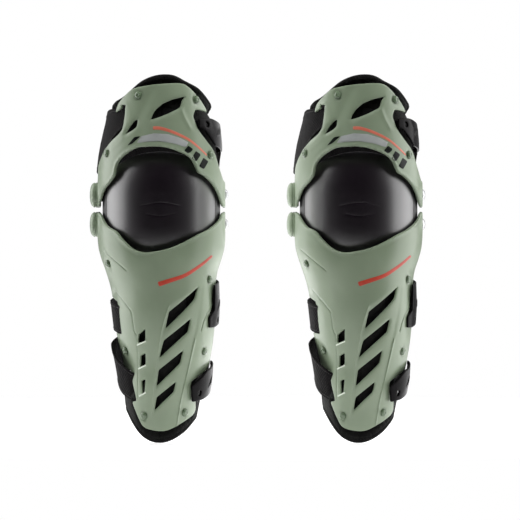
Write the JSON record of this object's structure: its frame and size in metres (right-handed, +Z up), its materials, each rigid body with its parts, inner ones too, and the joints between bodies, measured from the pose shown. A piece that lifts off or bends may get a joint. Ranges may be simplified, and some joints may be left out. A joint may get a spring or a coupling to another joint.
{
  "type": "knee guards",
  "caption": "Pair of hinged knee and shin guards: green moulded thigh and shin shells, black knee cup, padded liners, and hooked straps round the leg.",
  "frame": {"origin": "knee centre of the left guard, midway between its two hinge axes", "axes": "+Z up the leg, -Y the front, +X to the right as seen from the front; the right guard stands 255 mm along +X"},
  "size_m": [0.4342, 0.172, 0.4701],
  "materials": {
    "sage_shell": "satin",
    "sage_stud": "satin",
    "black_cup": "satin",
    "black_moulding": "matte",
    "pad_fabric": "matte",
    "hinge_steel": "polished",
    "bush_metal": "satin",
    "washer_black": "matte",
    "webbing": "woven",
    "hook_gloss": "glossy"
  },
  "bodies": {
    "left_shin": {"left_shin_shell": "sage_shell", "left_lower_hinge_bushes": "bush_metal", "left_lower_hinge_cap": "sage_shell", "left_shin_studs": "sage_stud", "left_shin_liner": "pad_fabric", "left_calf_strap": "webbing", "left_ankle_strap": "webbing", "left_calf_hook_bar": "hinge_steel", "left_ankle_hook_bar": "hinge_steel", "left_calf_hook_post": "black_moulding", "left_ankle_hook_post": "black_moulding"},
    "left_knee_cup": {"left_knee_cup": "black_cup", "left_knee_pad": "pad_fabric", "left_hinge_carrier": "black_moulding", "left_upper_hinge_pins": "hinge_steel", "left_lower_hinge_pins": "hinge_steel", "left_hinge_washers": "washer_black"},
    "left_thigh": {"left_thigh_shell": "sage_shell", "left_upper_hinge_bushes": "bush_metal", "left_upper_hinge_cap": "sage_shell", "left_thigh_studs": "sage_stud", "left_thigh_liner": "pad_fabric", "left_thigh_strap": "webbing", "left_thigh_hook_bar": "hinge_steel", "left_thigh_hook_post": "black_moulding"},
    "left_thigh_hook": {"left_thigh_hook": "hook_gloss"},
    "left_calf_hook": {"left_calf_hook": "hook_gloss"},
    "left_ankle_hook": {"left_ankle_hook": "hook_gloss"},
    "right_shin": {"right_shin_shell": "sage_shell", "right_lower_hinge_bushes": "bush_metal", "right_lower_hinge_cap": "sage_shell", "right_shin_studs": "sage_stud", "right_shin_liner": "pad_fabric", "right_calf_strap": "webbing", "right_ankle_strap": "webbing", "right_calf_hook_bar": "hinge_steel", "right_ankle_hook_bar": "hinge_steel", "right_calf_hook_post": "black_moulding", "right_ankle_hook_post": "black_moulding"},
    "right_knee_cup": {"right_knee_cup": "black_cup", "right_knee_pad": "pad_fabric", "right_hinge_carrier": "black_moulding", "right_upper_hinge_pins": "hinge_steel", "right_lower_hinge_pins": "hinge_steel", "right_hinge_washers": "washer_black"},
    "right_thigh": {"right_thigh_shell": "sage_shell", "right_upper_hinge_bushes": "bush_metal", "right_upper_hinge_cap": "sage_shell", "right_thigh_studs": "sage_stud", "right_thigh_liner": "pad_fabric", "right_thigh_strap": "webbing", "right_thigh_hook_bar": "hinge_steel", "right_thigh_hook_post": "black_moulding"},
    "right_thigh_hook": {"right_thigh_hook": "hook_gloss"},
    "right_calf_hook": {"right_calf_hook": "hook_gloss"},
    "right_ankle_hook": {"right_ankle_hook": "hook_gloss"}
  },
  "joints": [
    {"name": "left_lower_flex", "type": "hinge", "parent": "left_shin", "child": "left_knee_cup", "pos_m": [0, 0, -0.019], "axis": [-1, 0, 0], "range_deg": [0, 55]},
    {"name": "left_upper_flex", "type": "hinge", "parent": "left_knee_cup", "child": "left_thigh", "pos_m": [0, 0, 0.019], "axis": [-1, 0, 0], "range_deg": [0, 55]},
    {"name": "left_thigh_hook_swing", "type": "hinge", "parent": "left_thigh", "child": "left_thigh_hook", "pos_m": [0.07225, 0.01424, 0.0908], "axis": [-0.0336, 0.1391, 0.9897], "range_deg": [0, 60]},
    {"name": "left_calf_hook_swing", "type": "hinge", "parent": "left_shin", "child": "left_calf_hook", "pos_m": [0.06732, 0.0129, -0.11762], "axis": [0.0465, -0.139, 0.9892], "range_deg": [0, 60]},
    {"name": "left_ankle_hook_swing", "type": "hinge", "parent": "left_shin", "child": "left_ankle_hook", "pos_m": [0.05587, 0.01179, -0.21201], "axis": [0.1561, -0.2723, 0.9495], "range_deg": [0, 60]},
    {"name": "guard_spacing", "type": "slide", "parent": "left_shin", "child": "right_shin", "axis": [1, 0, 0], "range_m": [0, 0.15]},
    {"name": "right_lower_flex", "type": "hinge", "parent": "right_shin", "child": "right_knee_cup", "pos_m": [0.255, 0, -0.019], "axis": [-1, 0, 0], "range_deg": [0, 55]},
    {"name": "right_upper_flex", "type": "hinge", "parent": "right_knee_cup", "child": "right_thigh", "pos_m": [0.255, 0, 0.019], "axis": [-1, 0, 0], "range_deg": [0, 55]},
    {"name": "right_thigh_hook_swing", "type": "hinge", "parent": "right_thigh", "child": "right_thigh_hook", "pos_m": [0.32725, 0.01424, 0.0908], "axis": [-0.0336, 0.1391, 0.9897], "range_deg": [0, 60]},
    {"name": "right_calf_hook_swing", "type": "hinge", "parent": "right_shin", "child": "right_calf_hook", "pos_m": [0.32232, 0.0129, -0.11762], "axis": [0.0465, -0.139, 0.9892], "range_deg": [0, 60]},
    {"name": "right_ankle_hook_swing", "type": "hinge", "parent": "right_shin", "child": "right_ankle_hook", "pos_m": [0.31087, 0.01179, -0.21201], "axis": [0.1561, -0.2723, 0.9495], "range_deg": [0, 60]}
  ]
}
